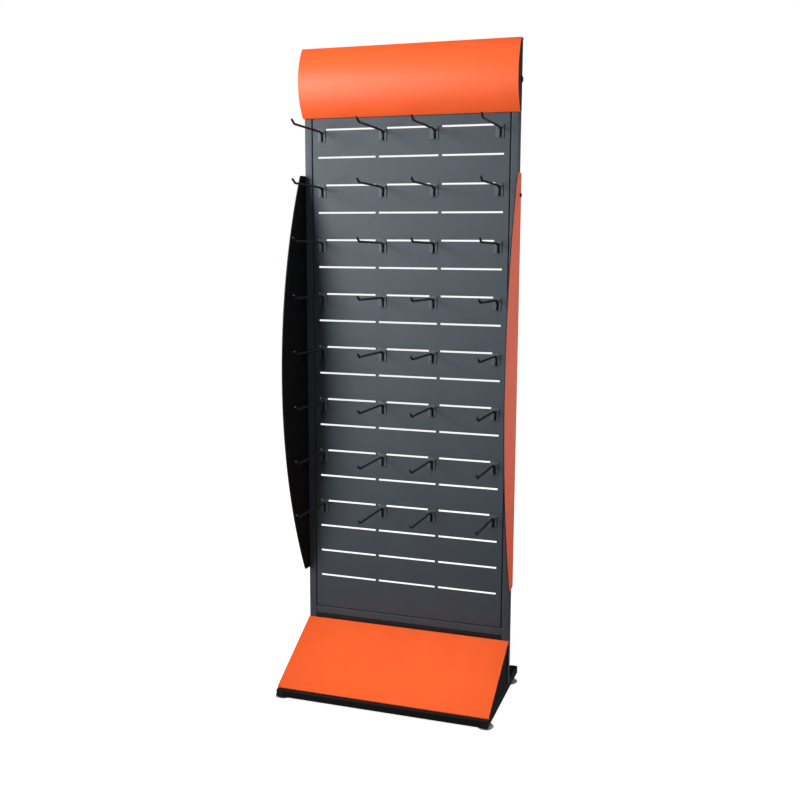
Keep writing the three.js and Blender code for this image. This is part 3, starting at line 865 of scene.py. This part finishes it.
FOOT_SIDES = 48
DISC_THICKNESS = 3 * MM
DISC_EDGE_STEPS = 8
DISC_ROLL = 3 * MM  # width of the rolled edge
DISC_HOLLOW = 0.6 * MM  # depth of the hollow underneath
DISH_DEPTH = 0.5 * MM
COLLAR_RADIUS = 8 * MM
COLLAR_TOP = 4.7 * MM
COLLAR_FLARE = 2 * MM
COLLAR_CHAMFER = 0.4 * MM
STUD_RADIUS = 4 * MM
THREAD_PITCH = 1.25 * MM
THREAD_DEPTH = 0.6 * MM
THREAD_TOP_ROOM = 1 * MM  # free of thread at the stud's top, at least


def levelling_foot(node):
    """A pressed disc with a rolled edge and a shallow dish, on a threaded stud."""
    low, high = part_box(node)
    middle = (low + high) / 2
    radius = (high.x - low.x) / 2
    top = high.z - low.z
    edge = DISC_THICKNESS / 2
    profile = [(radius - DISC_ROLL - MM, DISC_HOLLOW), (radius - DISC_ROLL, 0)]
    for i in range(DISC_EDGE_STEPS + 1):
        angle = -math.pi / 2 + math.pi * i / DISC_EDGE_STEPS
        profile.append((radius - edge + edge * math.cos(angle), edge + edge * math.sin(angle)))
    profile += [
        (radius - DISC_ROLL, DISC_THICKNESS - DISH_DEPTH),
        (COLLAR_RADIUS + COLLAR_FLARE, DISC_THICKNESS - DISH_DEPTH),
        (COLLAR_RADIUS, DISC_THICKNESS),
        (COLLAR_RADIUS, COLLAR_TOP - COLLAR_CHAMFER),
        (COLLAR_RADIUS - COLLAR_CHAMFER, COLLAR_TOP),
        (STUD_RADIUS, COLLAR_TOP),
    ]
    turns = int((top - COLLAR_TOP - THREAD_TOP_ROOM) / THREAD_PITCH)
    for i in range(turns):
        height = COLLAR_TOP + (i + 0.5) * THREAD_PITCH
        profile.append((STUD_RADIUS - THREAD_DEPTH, height))
        profile.append((STUD_RADIUS, height + THREAD_PITCH / 2))
    profile.append((STUD_RADIUS - THREAD_DEPTH, top))
    place = Matrix.Translation((middle.x, middle.y, low.z))
    bm = bmesh.new()
    skin(bm, turned_rings(profile, FOOT_SIDES, place))
    return mesh_from(bm, node, [zinc])


for end in ("front", "rear"):
    for side in ("left", "right"):
        foot_node = f"foot_{end}_{side}"
        foot = levelling_foot(foot_node)
        add_piece(f"{foot_node}_disc", foot, foot_node, [foot_node])

# ---------------------------------------------------------------- hooks

# A hook's own frame: y = 0 is the panel's face and z = 0 its slot's centre line.
WIRE_DEPTH = -(GAP + HOOK_PLATE - HOOK_WELD_SINK + WIRE_RADIUS)


def wire_path():
    tip_bend = (-HOOK_ARM_REACH, HOOK_ARM_RISE - HOOK_ARM_DROP)
    tip = (
        tip_bend[0] - HOOK_TIP_LENGTH * math.cos(HOOK_TIP_ANGLE),
        tip_bend[1] + HOOK_TIP_LENGTH * math.sin(HOOK_TIP_ANGLE),
    )
    corners = [(WIRE_DEPTH, -HOOK_LEG_DROP), (WIRE_DEPTH, -HOOK_ARM_DROP), tip_bend, tip]
    return round_path(corners, WIRE_BEND_RADIUS, WIRE_BEND_STEPS)


def wire_ring(centre, direction, radius):
    """A ring of the wire about a point of its (y, z) path."""
    across = sideways(direction)
    ring = []
    for angle in circle_angles(WIRE_SIDES):
        point = centre + across * (radius * math.sin(angle))
        ring.append(Vector((radius * math.cos(angle), point.x, point.y)))
    return ring


def hook_wire():
    """Bent round wire with slightly domed ends, and the two welds that hold it to its plate."""
    path = wire_path()
    headings = [(b - a).normalized() for a, b in zip(path, path[1:])]
    headings = [headings[0], *headings, headings[-1]]
    dome = WIRE_RADIUS * WIRE_DOME
    rings = []
    for i, point in enumerate(path):
        heading = (headings[i] + headings[i + 1]).normalized()
        if i in (0, len(path) - 1):
            outward = heading if i else -heading
            cap = []
            for angle in WIRE_DOME_ANGLES:
                centre = point - outward * dome * (1 - math.sin(angle))
                cap.append(wire_ring(centre, heading, WIRE_RADIUS * math.cos(angle)))
            rings += cap if i else cap[::-1]
        else:
            rings.append(wire_ring(point, heading, WIRE_RADIUS))
    bm = bmesh.new()
    skin(bm, rings)
    for side in (-1, 1):
        x = side * WIRE_RADIUS * HOOK_WELD_SIDE
        bottom = (x, -GAP - HOOK_PLATE, HOOK_WELD_BOTTOM)
        top = (x, -GAP - HOOK_PLATE, HOOK_WELD_TOP)
        weld_bead(bm, bottom, top, radius=HOOK_WELD_RADIUS)
    return mesh_from(bm, "hook_wire", [hook_paint])


def hook_plate():
    """The plate welded to the wire: front apron, tongue through the slot and catch behind it."""
    rest = GAP - SLOT_WIDTH / 2  # the tongue's underside, just above the slot's lower edge
    front = -GAP - HOOK_PLATE
    back = PANEL_SHEET + GAP + HOOK_PLATE
    corners = [
        ((front, -HOOK_PLATE_DROP), HOOK_PLATE_CORNER),
        ((-GAP, -HOOK_PLATE_DROP), HOOK_PLATE_CORNER),
        ((-GAP, rest), 0),
        ((back, rest), HOOK_PLATE_OUTER_FOLD),
        ((back, rest + HOOK_TONGUE_RISE), HOOK_PLATE_CORNER),
        ((back - HOOK_PLATE, rest + HOOK_TONGUE_RISE), HOOK_PLATE_CORNER),
        ((back - HOOK_PLATE, rest + HOOK_PLATE), HOOK_PLATE_INNER_FOLD),
        ((front, rest + HOOK_PLATE), HOOK_PLATE_OUTER_FOLD),
    ]
    outline = round_outline(corners, HOOK_PLATE_STEPS)
    bm = bmesh.new()
    prism(bm, outline, -HOOK_PLATE_HALF_WIDTH, HOOK_PLATE_HALF_WIDTH, rim=HOOK_PLATE_RIM)
    return mesh_from(bm, "hook_plate", [plate_paint])


wire_mesh = hook_wire()
plate_mesh = hook_plate()
panel_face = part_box("slotted_panel")[0].y
for row in HOOK_ROWS:
    for column in range(1, HOOK_COLUMNS + 1):
        hook = f"hook_r{row:02d}_c{column}"
        hook_low, hook_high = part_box(hook)
        place = ((hook_low.x + hook_high.x) / 2, panel_face, slot_height(row))
        add_piece(f"{hook}_wire", wire_mesh, hook, [hook], place=place)
        add_piece(f"{hook}_plate", plate_mesh, hook, place=place)

# ---------------------------------------------------------------- camera, lights and floor

CAMERA_PLACE = (0.87177, -2.63098, 1.27427)
CAMERA_ANGLES = (80.9129, -0.1919, 18.4230)  # degrees
CAMERA_LENS = 46.065

camera = bpy.data.objects.new("camera", bpy.data.cameras.new("camera"))
camera.location = CAMERA_PLACE
camera.rotation_euler = Euler([math.radians(angle) for angle in CAMERA_ANGLES])
camera.data.lens = CAMERA_LENS
bpy.context.scene.collection.objects.link(camera)
bpy.context.scene.camera = camera
bpy.context.scene.view_settings.view_transform = "Standard"


def add_softbox(name, position, target, size, watts, spread=180):
    """A rectangular soft light that faces its target. A smaller spread fades it off its axis."""
    light = bpy.data.lights.new(name, "AREA")
    light.shape = "RECTANGLE"
    light.size, light.size_y = size
    light.energy = watts
    light.spread = math.radians(spread)
    box = bpy.data.objects.new(name, light)
    box.location = position
    box.rotation_euler = (Vector(position) - Vector(target)).to_track_quat("Z", "Y").to_euler()
    bpy.context.scene.collection.objects.link(box)
    box.visible_camera = False
    return box


# The key is a pair of banks to the left of the viewer, both aimed high, so the light fades
# towards the base. The light over the cover makes up for that, without a glare.
KEY_TARGET = (-0.2, 0.05, 1.65)
add_softbox("key_high", (-2.1, -2.5, 2.2), KEY_TARGET, size=(1.8, 1.0), watts=19.5, spread=76)
add_softbox("key_low", (-2.1, -2.5, 0.95), KEY_TARGET, size=(1.8, 1.0), watts=12.5, spread=76)
cover_light = add_softbox(
    "cover_light", (0, -0.5, 2.5), (0, -0.12, 0.1), size=(0.8, 0.5), watts=2.8, spread=44
)
cover_light.visible_glossy = False
add_softbox("overhead", (0, -0.9, 3.0), (0, -0.1, 0.2), size=(1.6, 1.2), watts=3)
add_softbox("right_side", (2.9, 0.7, 0.9), (0.3, 0, 0.9), size=(1.4, 1.8), watts=48)
add_softbox("right_behind", (1.3, 2.8, 0.8), (0.3, 0, 0.7), size=(1.2, 2.0), watts=4)
add_softbox("low_front", (-0.9, -1.8, 0.15), (0, 0, 0.4), size=(0.8, 0.15), watts=0.4, spread=70)
add_softbox("left_side", (-3.0, 0.6, 1.0), (-0.3, 0, 0.9), size=(1.4, 1.8), watts=12)

world = bpy.data.worlds.new("studio")
world.use_nodes = True
background = world.node_tree.nodes["Background"].inputs
background["Color"].default_value = (1, 1, 1, 1)
background["Strength"].default_value = 1.0
# The white background is seen, but it lights nothing.
world.cycles_visibility.diffuse = False
world.cycles_visibility.glossy = False
bpy.context.scene.world = world

FLOOR_HALF = 15.0
FLOOR_PAINTED_SHADE_RADIUS = 0.5  # radius of the floor's middle, where its glow is dimmed as painted shade around the stand, in metres
FLOOR_WHITE = 1.6  # from this radius outward the floor is as white as the background
# The glow in the floor's middle: dimmer than the background, as painted shade around the stand.
FLOOR_PAINTED_SHADE_GLOW = 0.82


def floor_material():
    """Pale studio floor that glows, so it stays white except for soft contact shadows; in its middle
    the glow is dimmed, as painted shade around the stand.
    """
    material, tree, inputs = new_material("studio_floor")
    tone = mix_colours(tree, noise(tree, 3, detail=4), (0.78, 0.78, 0.78), (0.82, 0.82, 0.82))
    tree.links.new(tone, inputs["Base Color"])
    inputs["Roughness"].default_value = 0.8
    inputs["Specular IOR Level"].default_value = 0.1
    inputs["Emission Color"].default_value = (1, 1, 1, 1)
    place = add_node(tree, "ShaderNodeTexCoord")
    reach = add_node(tree, "ShaderNodeVectorMath", operation="LENGTH")
    tree.links.new(place.outputs["Object"], reach.inputs[0])
    # The glow fades towards the middle, as painted shade around the stand.
    painted_shade_glow = remap(tree, reach.outputs["Value"], FLOOR_PAINTED_SHADE_RADIUS, FLOOR_WHITE, FLOOR_PAINTED_SHADE_GLOW, 1.0)
    tree.links.new(painted_shade_glow, inputs["Emission Strength"])
    return material


def add_floor():
    bm = bmesh.new()
    bmesh.ops.create_grid(bm, x_segments=1, y_segments=1, size=FLOOR_HALF)
    mesh = bpy.data.meshes.new("floor")
    bm.to_mesh(mesh)
    bm.free()
    mesh.materials.append(floor_material())
    floor = bpy.data.objects.new("floor", mesh)
    bpy.context.scene.collection.objects.link(floor)
    floor.visible_diffuse = False
    floor.visible_glossy = False


add_floor()
